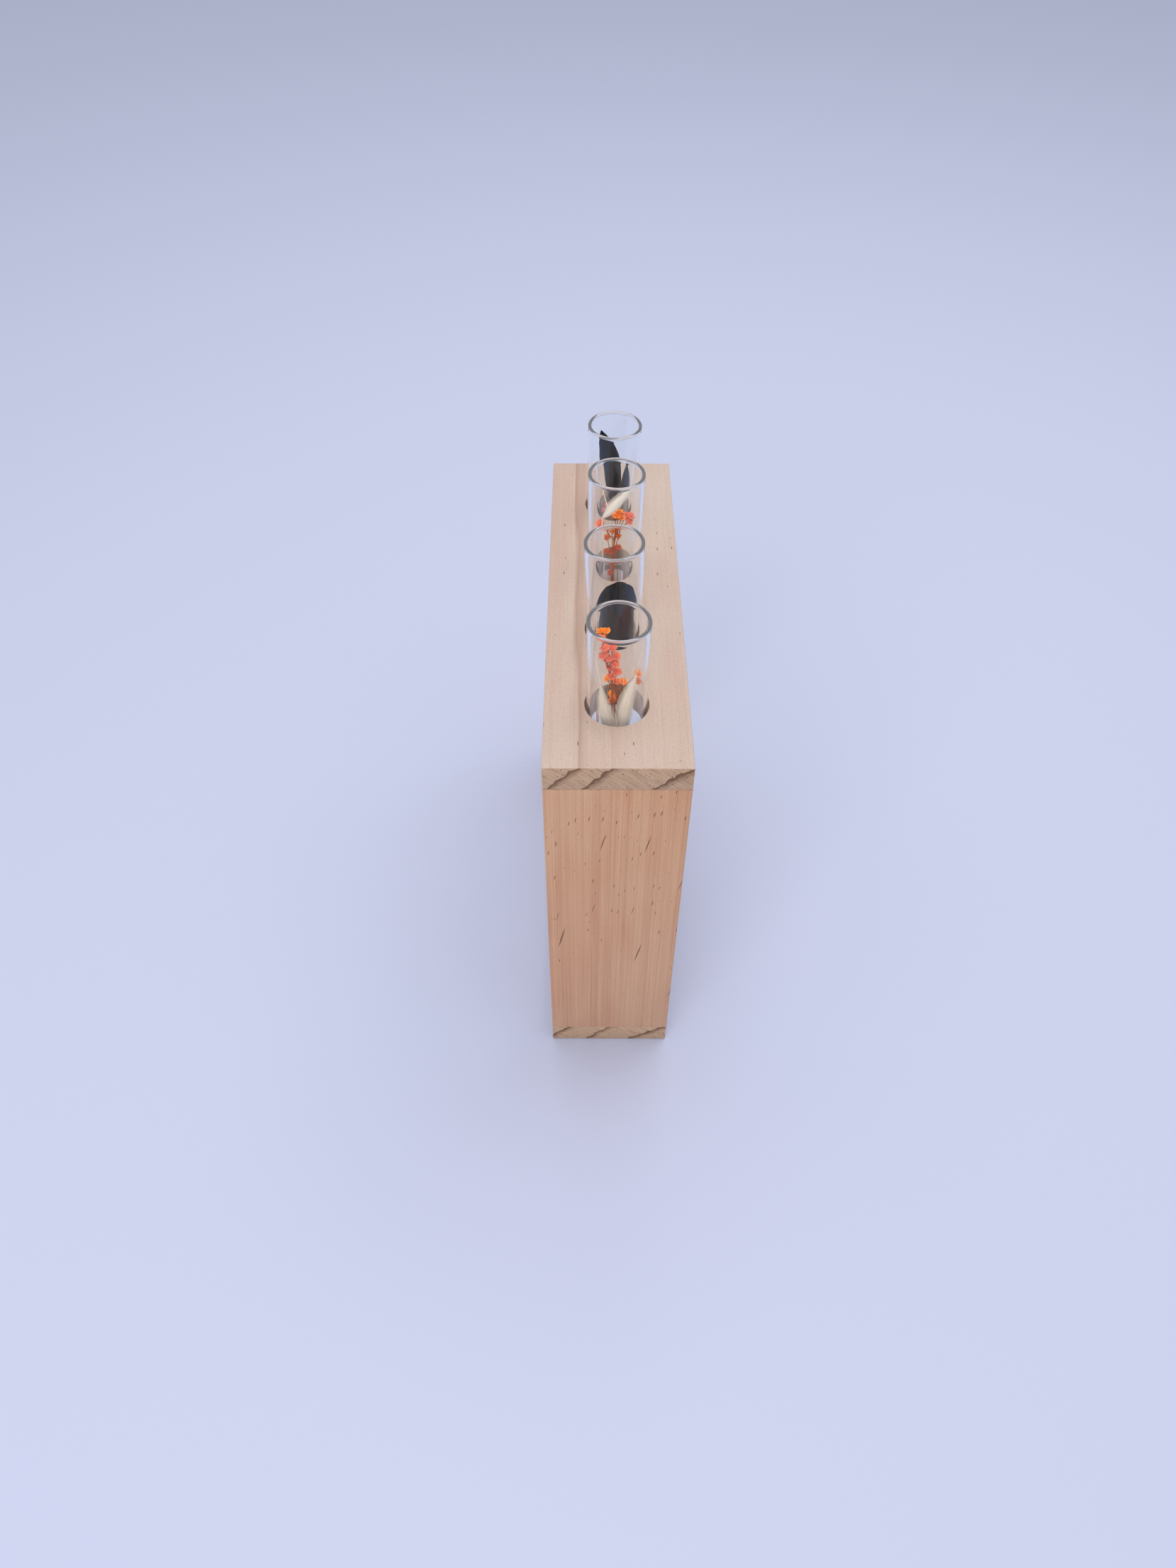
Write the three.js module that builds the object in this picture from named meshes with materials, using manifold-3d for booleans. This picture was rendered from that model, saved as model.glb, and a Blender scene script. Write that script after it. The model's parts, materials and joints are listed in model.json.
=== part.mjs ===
// A vial vase stand: an open frame of four pine boards on hidden dowels. Four straight glass vials
// stand through the drilled top board on seats in the base board, and each holds dried flowers or leaves.
// Millimetres, +Z up. The origin is the centre of the underside, and the boards run along Y.
import * as THREE from 'three';
import { mergeVertices } from 'three/addons/utils/BufferGeometryUtils.js';
import Module from 'manifold-3d';

const wasm = await Module();
wasm.setup();

// Frame
const boardWidth = 43;
const boardThickness = 9;
const frameLength = 154;
const frameHeight = 154;

// Dowels in the corner joints
const dowelDiameter = 5;
const dowelLength = 20;
const dowelSpacing = 24;
const dowelChamfer = 0.6;
const dowelCover = 2.6; // wood left between a dowel hole and the outside of the top or base board
const dowelClearance = 0.15; // glue space round a dowel and at each of its ends

// Vials, with the holes and seats that hold them
const vialDiameter = 18;
const vialWall = 1;
const vialLength = 180;
const vialPitch = 34;
const holeClearance = 0.5; // all round a vial, in the top board and in its seat
const standingGap = 0.3; // under a vial in its seat, and under a stem in its vial

// How each vial stands, front to rear: the depth of its seat, and how far its round bottom has
// wandered across the seat, as a share of the play there. Wandering to +X leans the rim to -X.
const vialStances = [
  { seatDepth: 3.8, wander: 0 },
  { seatDepth: 2.5, wander: 0.95 },
  { seatDepth: 1.2, wander: -0.25 },
  { seatDepth: 4.3, wander: -0.85 },
];

// Dried flowers
const stemDiameter = 0.9;
const pedicelDiameter = 0.6; // the little stalk of one floret
const pedicelRise = 8; // how far below its floret a pedicel leaves the stem
const pedicelSag = 0.6;
const awnDiameter = 0.4;
const floretWidth = 3.1;
const floretHeight = 2.1;
const floretHeldAt = 0.4; // the share of a floret's height where its pedicel ends
const leafThickness = 0.6;
const leanLateness = 6; // the higher, the nearer to its tip a blade leans over

// Half the outline of a floret's cup, from its foot over the lip to its middle, as shares of its
// radius and height
const floretOutline = [[0, -0.2], [0.5, 0], [1, 0.75], [0.8, 1], [0.3, 0.7], [0, 0.65]];

// Facets
const vialSides = 24;
const holeSides = 32;
const dowelSides = 12;
const stemSides = 5;
const floretSides = 6;
const bladeSides = 16;
const bladeRings = 16;
const stemSteps = 14;
const awnSteps = 8;
const pedicelSteps = 2;
const weldDistance = 1e-4;

// Worked out from the sizes above
const vialRadius = vialDiameter / 2;
const boreRadius = vialRadius - vialWall;
const holeRadius = vialRadius + holeClearance;
// The dried pieces are written for a bore of radius 8 in a vial 180 long.
const acrossUnit = boreRadius / 8;
const dropUnit = vialLength / 180;
const endBoardHeight = frameHeight - 2 * boardThickness;
const endBoardOffset = (frameLength - boardThickness) / 2;
const holeCentreHeight = frameHeight - boardThickness / 2;
const dowelHoleRadius = dowelDiameter / 2 + dowelClearance;
const dowelHoleInBoard = boardThickness - dowelCover;
const dowelInBoard = dowelHoleInBoard - dowelClearance;
const dowelHoleInEnd = dowelLength - dowelInBoard + dowelClearance;
const vialOffset = (index) => (index - (vialStances.length - 1) / 2) * vialPitch;

const colours = {
  topPine: 0xd9c5b4,
  endPine: 0xc79f7c,
  dowel: 0xd8b98c,
  glass: 0xdfe9e6,
  coral: 0xf07a5e,
  orange: 0xe87a1c,
  oat: 0xe3d5b6,
  leaf: 0x26303a,
  pink: 0xe89a90,
};

function finish(colour, roughness) {
  return new THREE.MeshStandardMaterial({ color: colour, roughness, metalness: 0 });
}

function glassFinish() {
  const glass = finish(colours.glass, 0.03);
  glass.transparent = true;
  glass.opacity = 0.35;
  return glass;
}

// Booleans: a geometry becomes a solid, and a solid becomes a geometry again
function solidOf(geometry) {
  const bare = geometry.clone();
  bare.deleteAttribute('normal');
  bare.deleteAttribute('uv');
  const merged = mergeVertices(bare, weldDistance);
  const corners = merged.index.array;
  const kept = [];
  for (let i = 0; i < corners.length; i += 3) {
    const [a, b, c] = corners.subarray(i, i + 3);
    if (a !== b && b !== c && c !== a) kept.push(a, b, c);
  }
  return new wasm.Manifold(new wasm.Mesh({
    numProp: 3,
    vertProperties: Float32Array.from(merged.attributes.position.array),
    triVerts: Uint32Array.from(kept),
  }));
}

function geometryOf(solid) {
  const mesh = solid.getMesh();
  const geometry = new THREE.BufferGeometry();
  geometry.setAttribute('position', new THREE.BufferAttribute(mesh.vertProperties, 3));
  geometry.setIndex(new THREE.BufferAttribute(mesh.triVerts, 1));
  geometry.computeVertexNormals();
  return geometry;
}

function joined(geometries) {
  return geometryOf(geometries.map(solidOf).reduce((whole, next) => whole.add(next)));
}

function drilled(geometry, drills) {
  return geometryOf(drills.map(solidOf).reduce((whole, hole) => whole.subtract(hole), solidOf(geometry)));
}

function named(name, geometry, material) {
  const mesh = new THREE.Mesh(geometry, material);
  mesh.name = name;
  return mesh;
}

// Frame
function board(width, length, height, centre) {
  return new THREE.BoxGeometry(width, length, height).translate(...centre);
}

// An upright round hole from one height to another
function drill(radius, sides, x, y, fromHeight, toHeight) {
  const depth = toHeight - fromHeight;
  return new THREE.CylinderGeometry(radius, radius, depth, sides)
    .rotateX(Math.PI / 2)
    .translate(x, y, fromHeight + depth / 2);
}

const baseTop = boardThickness;
const topUnderside = frameHeight - boardThickness;
const dowelPlaces = [];
for (const [end, y] of [['front', -endBoardOffset], ['rear', endBoardOffset]]) {
  for (const [side, x] of [['left', -dowelSpacing / 2], ['right', dowelSpacing / 2]]) {
    dowelPlaces.push({ end, side, x, y });
  }
}

// A vial's hole or seat, from its floor up past the whole frame
function vialHole(index, floorHeight) {
  return drill(holeRadius, holeSides, 0, vialOffset(index), floorHeight, frameHeight + boardThickness);
}

// A dowel's hole, which reaches below and above the joint's face
function dowelHole({ x, y }, jointHeight, below, above) {
  return drill(dowelHoleRadius, dowelSides, x, y, jointHeight - below, jointHeight + above);
}

function topBoard() {
  const blank = board(boardWidth, frameLength, boardThickness, [0, 0, holeCentreHeight]);
  const vialHoles = vialStances.map((_, index) => vialHole(index, topUnderside - boardThickness));
  const dowelHoles = dowelPlaces.map((spot) => (
    dowelHole(spot, topUnderside, boardThickness, dowelHoleInBoard)));
  return drilled(blank, [...vialHoles, ...dowelHoles]);
}

function baseBoard() {
  const blank = board(boardWidth, frameLength, boardThickness, [0, 0, boardThickness / 2]);
  const seats = vialStances.map(({ seatDepth }, index) => vialHole(index, baseTop - seatDepth));
  const dowelHoles = dowelPlaces.map((spot) => dowelHole(spot, baseTop, dowelHoleInBoard, boardThickness));
  return drilled(blank, [...seats, ...dowelHoles]);
}

function endBoard(end, y) {
  const blank = board(boardWidth, boardThickness, endBoardHeight, [0, y, frameHeight / 2]);
  const spots = dowelPlaces.filter((spot) => spot.end === end);
  return drilled(blank, spots.flatMap((spot) => [
    dowelHole(spot, baseTop, boardThickness, dowelHoleInEnd),
    dowelHole(spot, topUnderside, dowelHoleInEnd, boardThickness),
  ]));
}

// A dowel with chamfered ends, standing on z = 0
function dowel() {
  const radius = dowelDiameter / 2;
  const profile = [
    [0, 0],
    [radius - dowelChamfer, 0],
    [radius, dowelChamfer],
    [radius, dowelLength - dowelChamfer],
    [radius - dowelChamfer, dowelLength],
    [0, dowelLength],
  ].map(([r, z]) => new THREE.Vector2(r, z));
  return new THREE.LatheGeometry(profile, dowelSides).rotateX(Math.PI / 2);
}

// Vials
function arcPoints(centreHeight, radius, fromAngle, toAngle, steps, centreRadius = 0) {
  return Array.from({ length: steps + 1 }, (_, i) => {
    const angle = fromAngle + (toAngle - fromAngle) * i / steps;
    const out = centreRadius + radius * Math.cos(angle);
    return new THREE.Vector2(out, centreHeight + radius * Math.sin(angle));
  });
}

// A straight vial with a round bottom and a rolled rim, standing on z = 0
function vial() {
  const bottomSteps = 5;
  const rimSteps = 2;
  const rimRadius = vialWall / 2;
  const rimHeight = vialLength - rimRadius;
  const profile = [
    ...arcPoints(vialRadius, vialRadius, -Math.PI / 2, 0, bottomSteps),
    ...arcPoints(rimHeight, rimRadius, 0, Math.PI, rimSteps, vialRadius - rimRadius),
    ...arcPoints(vialRadius, boreRadius, 0, -Math.PI / 2, bottomSteps),
  ];
  profile[0].x = 0;
  profile.at(-1).x = 0;
  return new THREE.LatheGeometry(profile, vialSides).rotateX(Math.PI / 2);
}

// A group whose own origin is the vial's lowest point and whose own Z is the vial's axis
function vialFrame({ seatDepth, wander }, index) {
  const bottomHeight = baseTop - seatDepth + standingGap;
  const fromTopOfSeat = vialRadius - (seatDepth - standingGap);
  const radiusAtSeat = Math.sqrt(vialRadius ** 2 - fromTopOfSeat ** 2);
  const footOffset = wander * (holeRadius - radiusAtSeat - standingGap);
  const drop = holeCentreHeight - (bottomHeight + vialRadius);
  const frame = new THREE.Group();
  frame.position.set(0, vialOffset(index), holeCentreHeight);
  frame.rotation.y = -Math.atan2(footOffset, drop);
  const inner = new THREE.Group();
  inner.position.z = -Math.hypot(footOffset, drop) - vialRadius;
  frame.add(inner);
  return { frame, inner };
}

// Dried flowers, in a vial's own frame. A place is [x, y, drop below the rim].
function place([x, y, drop]) {
  return new THREE.Vector3(x * acrossUnit, y * acrossUnit, vialLength - drop * dropUnit);
}

// Where a stem stands on the vial's round bottom
function footPlace([x, y]) {
  const out = Math.hypot(x, y) * acrossUnit + stemDiameter / 2;
  const height = vialRadius - Math.sqrt(boreRadius ** 2 - out ** 2) + standingGap;
  return new THREE.Vector3(x * acrossUnit, y * acrossUnit, height);
}

function tube(curve, diameter, steps) {
  const section = new THREE.Shape(Array.from({ length: stemSides }, (_, i) => {
    const angle = 2 * Math.PI * i / stemSides;
    return new THREE.Vector2(Math.cos(angle), Math.sin(angle)).multiplyScalar(diameter / 2);
  }));
  return new THREE.ExtrudeGeometry(section, { extrudePath: curve, steps, bevelEnabled: false });
}

function stemCurve(foot, places) {
  return new THREE.CatmullRomCurve3([footPlace(foot), ...places.map(place)]);
}

// The point of a rising curve at a height, found by halving and held to the curve's ends
function curveAtHeight(curve, height) {
  const halvings = 30;
  let low = 0;
  let high = 1;
  for (let i = 0; i < halvings; i += 1) {
    const middle = (low + high) / 2;
    if (curve.getPoint(middle).z < height) low = middle;
    else high = middle;
  }
  return curve.getPoint(low);
}

// A cup-shaped floret on its pedicel, which leaves the stem a little lower
function floretOn(curve, spot) {
  const head = place(spot);
  const from = curveAtHeight(curve, Math.min(head.z - pedicelRise, curve.getPoint(1).z - stemDiameter));
  const bend = from.clone().lerp(head, 0.5);
  bend.z -= pedicelSag;
  const pedicel = new THREE.CatmullRomCurve3([from, bend, head]);
  const profile = floretOutline.map(([out, up]) => (
    new THREE.Vector2(out * floretWidth / 2, (up - floretHeldAt) * floretHeight)));
  const cup = new THREE.LatheGeometry(profile, floretSides);
  cup.applyQuaternion(new THREE.Quaternion().setFromUnitVectors(
    new THREE.Vector3(0, 1, 0), pedicel.getTangent(1)));
  cup.translate(head.x, head.y, head.z);
  return [tube(pedicel, pedicelDiameter, pedicelSteps), cup];
}

// A leaf or husk: a ball pressed flat along a spine, with its poles at the ends, rolled across its width.
// It is widest at the share of its length called fullest, and a sharpness under 1 rounds its tip or base.
// A lean carries its tip that far round the roll.
function blade({
  spine, halfWidth, fullest = 0.5, sharpness = 1, baseSharpness = 1, lean = 0, roll, faces,
}) {
  const curve = new THREE.CatmullRomCurve3(spine.map(place));
  const ball = new THREE.SphereGeometry(1, bladeSides, bladeRings);
  const spots = ball.attributes.position;
  const outward = new THREE.Vector3(...faces);
  const rollRadius = roll * acrossUnit;
  const skew = Math.log(0.5) / Math.log(fullest);
  for (let i = 0; i < spots.count; i += 1) {
    const spot = new THREE.Vector3().fromBufferAttribute(spots, i);
    const share = Math.acos(THREE.MathUtils.clamp(-spot.y, -1, 1)) / Math.PI;
    const round = Math.hypot(spot.x, spot.z) || 1;
    const bulge = Math.max(0, Math.sin(Math.PI * share ** skew));
    const swell = bulge ** (share > fullest ? sharpness : baseSharpness);
    const along = curve.getTangent(share);
    const across = new THREE.Vector3().crossVectors(along, outward).normalize();
    const normal = new THREE.Vector3().crossVectors(across, along);
    const angle = (halfWidth * swell * spot.x / round + lean * share ** leanLateness) / roll;
    const rim = rollRadius + leafThickness / 2 * Math.sqrt(swell) * spot.z / round;
    const point = curve.getPoint(share)
      .addScaledVector(across, rim * Math.sin(angle))
      .addScaledVector(normal, rim * Math.cos(angle) - rollRadius);
    spots.setXYZ(i, point.x, point.y, point.z);
  }
  return ball;
}

// A bristle that starts inside a blade, at a share of its spine, and runs on through its own places
function awnOn({ spine, awn }) {
  const start = new THREE.CatmullRomCurve3(spine.map(place)).getPoint(awn.from);
  return tube(new THREE.CatmullRomCurve3([start, ...awn.through.map(place)]), awnDiameter, awnSteps);
}

// One dried piece: a stem from the vial's bottom, with florets or with leaves, husks and awns
function driedPiece({ foot, stem, florets = [], blades = [] }) {
  const curve = stemCurve(foot, stem);
  return joined([
    tube(curve, stemDiameter, stemSteps),
    ...florets.flatMap((spot) => floretOn(curve, spot)),
    ...blades.map(blade),
    ...blades.filter(({ awn }) => awn).map(awnOn),
  ]);
}

const towardsFront = [0, -1, 0];
const towardsRear = [0, 1, 0];

// What each vial holds, front to rear
const bunches = [
  [
    {
      name: 'coral_sprig_1',
      colour: colours.coral,
      foot: [-2.5, 1],
      stem: [[-2, 1.2, 100], [-1.4, 1, 30], [-2.2, 0.4, 19]],
      florets: [
        [-4.8, 0.5, 7.4], [-3.8, 0, 10.2], [-1.7, 1, 11.4], [-4, -0.6, 12.4], [-0.6, 0.6, 13.9],
        [-2.4, -0.8, 13.6], [-0.9, -0.6, 15.6], [-2.1, 0, 17.6], [-0.3, -0.6, 18.5],
        [-3.1, 0.6, 15.2], [-1.1, 0.3, 17.3], [-1.6, -1.3, 19.6],
      ],
    },
    {
      name: 'orange_sprig_1',
      colour: colours.orange,
      foot: [1.5, 3.2],
      stem: [[1.2, 3.6, 100], [0.4, 3.4, 34], [-2, 3.8, 18], [-3.6, 4, 12]],
      florets: [
        [-4.8, 3.7, 7.5], [-3.5, 3.9, 7.7], [-2.8, 2.8, 24.2], [0, 2.2, 24.9], [1.5, 1.7, 24.5],
        [5.8, 1.8, 21.2], [5.8, 1.2, 23.6], [-1.5, 3.3, 31], [-1, 3.3, 33.4],
      ],
    },
    {
      name: 'oat_spikelet_1',
      colour: colours.oat,
      foot: [1.5, -2.5],
      stem: [[1.6, -2.6, 100], [0.9, -3, 45]],
      blades: [
        {
          spine: [[0.2, -3.2, 47], [-2.2, -3.6, 37], [-4, -3.6, 28], [-4.8, -3.4, 19.5]],
          halfWidth: 3,
          fullest: 0.35,
          roll: 3.2,
          faces: towardsFront,
          awn: { from: 0.75, through: [[-4.8, -3.5, 19.5], [-5.8, -3, 14.2], [-6.2, -2.6, 8.6]] },
        },
        {
          spine: [[1, -3, 46], [1.9, -3.4, 36], [2.9, -3.6, 26], [5, -3.6, 16]],
          halfWidth: 3.1,
          roll: 3.2,
          faces: towardsFront,
          awn: { from: 0.5, through: [[4.8, -2.2, 20], [6.9, -1.5, 6.5]] },
        },
      ],
    },
  ],
  [
    {
      name: 'broad_leaf_2',
      colour: colours.leaf,
      foot: [-1, 2.5],
      stem: [[-0.8, 3, 100], [0, 5, 62]],
      blades: [{
        spine: [[0, 5, 64], [0, 6.8, 44], [0, 7, 19.5]],
        halfWidth: 10.4,
        fullest: 0.72,
        sharpness: 0.3,
        baseSharpness: 0.6,
        lean: -4.5,
        roll: 7,
        faces: towardsRear,
      }],
    },
    {
      name: 'small_leaf_2',
      colour: colours.leaf,
      foot: [2.5, -2.5],
      stem: [[3, -3, 100], [4, -4, 48]],
      blades: [{
        spine: [[4, -4, 50], [5.4, -3.4, 40], [6.6, -1.6, 29.7]],
        halfWidth: 1.4,
        roll: 4,
        faces: [0.6, -0.8, 0],
      }],
    },
  ],
  [
    {
      name: 'oat_spikelet_3',
      colour: colours.oat,
      foot: [-2.5, -2.5],
      stem: [[-3, -3, 100], [-4.6, -3, 24], [-4, -2.8, 14]],
      blades: [{
        spine: [[-4.4, -2.8, 15], [-0.2, -2.5, 9.8], [5, -1.6, 4]],
        halfWidth: 2.3,
        roll: 3,
        faces: [0, -1, 0.2],
        awn: { from: 0.25, through: [[-3.6, -1, 8], [-5.6, 0.6, 3]] },
      }],
    },
    {
      name: 'orange_sprig_3',
      colour: colours.orange,
      foot: [0.5, 2],
      stem: [[0.4, 2.2, 100], [-0.8, 2, 36], [0.3, 1.7, 24]],
      florets: [
        [0.2, 1, 16.8], [2, 1.4, 17.6], [1.2, 2.6, 16.4], [-0.9, 1.4, 22.6], [0.8, 1.8, 22.2],
        [-2.8, 1, 24.8], [-2.9, 1.2, 30.6], [0.6, 1.4, 29.6], [1.7, 1.2, 29],
        [1.4, 1.6, 24.8], [-1.2, 1.4, 31], [-0.6, 1.5, 36.7], [-1.4, 1, 38.9], [0.6, 1.8, 35.8],
      ],
    },
    {
      name: 'coral_sprig_3',
      colour: colours.coral,
      foot: [0.5, 4.2],
      stem: [[0.3, 4.8, 100], [0, 5.2, 40], [0, 5.2, 27]],
      florets: [[4.3, 2.6, 19.6], [5, 3.3, 18.4], [3.6, 4.4, 18.6], [-4.8, 1.4, 20], [-4.3, 2.6, 20.8]],
    },
  ],
  [
    {
      name: 'long_leaf_4',
      colour: colours.leaf,
      foot: [1.5, 1],
      stem: [[1.6, 1, 100], [0.9, 0.6, 34]],
      blades: [{
        spine: [[0.8, 0.6, 36], [0.3, 0.4, 26], [-1.6, 0.5, 13], [-4.6, 1, 2.9]],
        halfWidth: 4,
        fullest: 0.55,
        sharpness: 0.8,
        roll: 5,
        faces: towardsFront,
      }],
    },
    {
      name: 'small_leaf_4',
      colour: colours.leaf,
      foot: [3, -1.5],
      stem: [[3.6, -1.4, 100], [4.4, -1.4, 29]],
      blades: [{
        spine: [[4.4, -1.4, 31], [4.9, -1.7, 22], [4.9, -1.7, 13.2]],
        halfWidth: 2.1,
        roll: 5,
        faces: [0.3, -0.95, 0],
      }],
    },
    {
      name: 'pink_sprig_4',
      colour: colours.pink,
      foot: [-2.5, -1.5],
      stem: [[-3, -1.8, 100], [-3.4, -2, 38]],
      florets: [[-3.2, -2.2, 30], [-4.6, -1.6, 32.6], [-2, -2.8, 33.4]],
    },
  ],
];

// The assembly
const boardFinish = (colour) => finish(colour, 0.75);
const stand = new THREE.Group();
stand.add(named('top_board', topBoard(), boardFinish(colours.topPine)));
stand.add(named('base_board', baseBoard(), boardFinish(colours.topPine)));
stand.add(named('front_end_board', endBoard('front', -endBoardOffset), boardFinish(colours.endPine)));
stand.add(named('rear_end_board', endBoard('rear', endBoardOffset), boardFinish(colours.endPine)));

for (const { end, side, x, y } of dowelPlaces) {
  const low = named(`dowel_base_${end}_${side}`, dowel(), boardFinish(colours.dowel));
  low.position.set(x, y, baseTop - dowelInBoard);
  const high = named(`dowel_top_${end}_${side}`, dowel(), boardFinish(colours.dowel));
  high.position.set(x, y, topUnderside + dowelInBoard - dowelLength);
  stand.add(low, high);
}

vialStances.forEach((stance, index) => {
  const { frame, inner } = vialFrame(stance, index);
  inner.add(named(`vial_${index + 1}`, vial(), glassFinish()));
  for (const piece of bunches[index]) {
    inner.add(named(piece.name, driedPiece(piece), finish(piece.colour, 0.85)));
  }
  stand.add(frame);
});

export default stand;
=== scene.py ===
import json
import math
import random

import bmesh
import bpy
from mathutils import Color, Matrix, Vector, geometry, noise


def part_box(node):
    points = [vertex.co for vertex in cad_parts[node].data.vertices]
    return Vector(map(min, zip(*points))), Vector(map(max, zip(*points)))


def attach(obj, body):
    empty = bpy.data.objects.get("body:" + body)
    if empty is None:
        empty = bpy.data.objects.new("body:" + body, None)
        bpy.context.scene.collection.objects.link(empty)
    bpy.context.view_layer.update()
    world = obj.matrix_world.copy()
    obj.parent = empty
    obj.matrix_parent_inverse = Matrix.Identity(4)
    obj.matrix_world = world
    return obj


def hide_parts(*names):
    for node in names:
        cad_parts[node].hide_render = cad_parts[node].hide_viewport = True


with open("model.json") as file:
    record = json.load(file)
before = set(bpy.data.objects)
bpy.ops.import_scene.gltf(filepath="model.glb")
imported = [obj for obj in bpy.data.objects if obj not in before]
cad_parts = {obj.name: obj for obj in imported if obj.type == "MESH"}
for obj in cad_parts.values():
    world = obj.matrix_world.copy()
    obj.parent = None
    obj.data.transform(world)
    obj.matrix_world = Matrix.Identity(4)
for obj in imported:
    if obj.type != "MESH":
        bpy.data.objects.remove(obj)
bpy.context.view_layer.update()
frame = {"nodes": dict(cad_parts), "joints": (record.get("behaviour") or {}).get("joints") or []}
mm = 0.001
bounces = 32  # a line of sight along the row crosses sixteen faces of glass
scene = bpy.context.scene
scene.view_settings.view_transform = "Standard"
scene.cycles.max_bounces = bounces
scene.cycles.glossy_bounces = bounces
scene.cycles.transmission_bounces = bounces
scene.cycles.transparent_max_bounces = bounces
print("frame loaded:", len(frame["nodes"]), "nodes")


# camera, as the photograph was taken
camera = {
    "place": (-8.68, -280.78, 377.24),  # mm
    "turn": (41.574, -0.151, 0.095),  # degrees
    "lens": 24.93,  # mm, as is the sensor
    "sensor": 36,
    "nearest": 10,  # mm
}
cameraData = bpy.data.cameras.new("camera")
cameraData.lens = camera["lens"]
cameraData.sensor_width = camera["sensor"]
cameraData.clip_start = camera["nearest"] * mm
cameraObject = bpy.data.objects.new("camera", cameraData)
cameraObject.location = Vector(camera["place"]) * mm
cameraObject.rotation_euler = [math.radians(angle) for angle in camera["turn"]]
scene.collection.objects.link(cameraObject)
scene.camera = cameraObject


# small helpers for node trees
def paint(red, green, blue):
    # a colour as it looks on screen, 0 to 255
    return (*Color((red / 255, green / 255, blue / 255)).from_srgb_to_scene_linear(), 1.0)


def newMaterial(name):
    material = bpy.data.materials.new(name)
    material.use_nodes = True
    tree = material.node_tree
    return material, tree, tree.nodes["Principled BSDF"]


def addNode(tree, kind, values=None, **settings):
    node = tree.nodes.new("ShaderNode" + kind)
    for name, value in settings.items():
        setattr(node, name, value)
    for socket, value in (values or {}).items():
        plug(tree, node.inputs[socket], value)
    return node


def plug(tree, socket, value):
    if isinstance(value, bpy.types.NodeSocket):
        tree.links.new(value, socket)
    else:
        socket.default_value = value


def calc(tree, operation, first, second=0.0, third=0.0):
    return addNode(tree, "Math", {0: first, 1: second, 2: third}, operation=operation).outputs[0]


def shift(tree, vector, step):
    return addNode(tree, "VectorMath", {0: vector, 1: step}, operation="ADD").outputs[0]


def stretch(tree, vector, factors):
    return addNode(tree, "VectorMath", {0: vector, 1: factors}, operation="MULTIPLY").outputs[0]


def cloud(tree, vector, scales, detail=2.0, roughness=0.5):
    spot = stretch(tree, vector, scales)
    values = {"Vector": spot, "Scale": 1.0, "Detail": detail, "Roughness": roughness}
    return addNode(tree, "TexNoise", values).outputs[0]


def remap(tree, value, low, high, toLow=0.0, toHigh=1.0):
    values = {"Value": value, "From Min": low, "From Max": high, "To Min": toLow, "To Max": toHigh}
    return addNode(tree, "MapRange", values, interpolation_type="SMOOTHSTEP").outputs[0]


def mixColour(tree, factor, first, second):
    return addNode(tree, "Mix", {0: factor, 6: first, 7: second}, data_type="RGBA").outputs[2]


def tinted(tree, colour, mask, low, high, strength, tint):
    # a tint laid on more strongly as the mask goes from low to high
    return mixColour(tree, remap(tree, mask, low, high, 0.0, strength), colour, tint)


def washed(tree, colour, mask, strength, tint):
    # a tint laid on just as the mask says
    return mixColour(tree, calc(tree, "MULTIPLY", mask, strength), colour, tint)


def surfaced(tree, shader, colour, mask, roughness):
    # a colour, and a roughness that the mask takes from the first value to the second
    tree.links.new(colour, shader.inputs["Base Color"])
    tree.links.new(remap(tree, mask, 0.3, 0.7, *roughness), shader.inputs["Roughness"])


def bumped(tree, shader, height, strength, depth):
    values = {"Strength": strength, "Distance": depth * mm, "Height": height}
    tree.links.new(addNode(tree, "Bump", values).outputs[0], shader.inputs["Normal"])


def letThrough(tree, shader, share, tint=(1, 1, 1, 1)):
    # a share of the light goes straight through
    clear = addNode(tree, "BsdfTransparent", {0: tint}).outputs[0]
    mixed = addNode(tree, "MixShader", {0: share, 1: shader.outputs[0], 2: clear}).outputs[0]
    tree.links.new(mixed, tree.nodes["Material Output"].inputs["Surface"])


# small helpers for meshes
def finishPiece(name, bm, materials, body, node, sharpAngle=35):
    mesh = bpy.data.meshes.new(name)
    for face in bm.faces:
        face.smooth = True
    bm.to_mesh(mesh)
    bm.free()
    mesh.set_sharp_from_angle(angle=math.radians(sharpAngle))
    for material in materials:
        mesh.materials.append(material)
    piece = bpy.data.objects.new(name, mesh)
    scene.collection.objects.link(piece)
    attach(piece, body)
    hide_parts(node)


def facesOf(verts):
    return list(dict.fromkeys(face for vert in verts for face in vert.link_faces))


def ringEdges(ring):
    edges = (edge for vert in ring for edge in vert.link_edges if edge.other_vert(vert) in ring)
    return list(dict.fromkeys(edges))


def newItems(result, kind):
    return [item for item in result["geom"] if isinstance(item, kind)]


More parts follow.
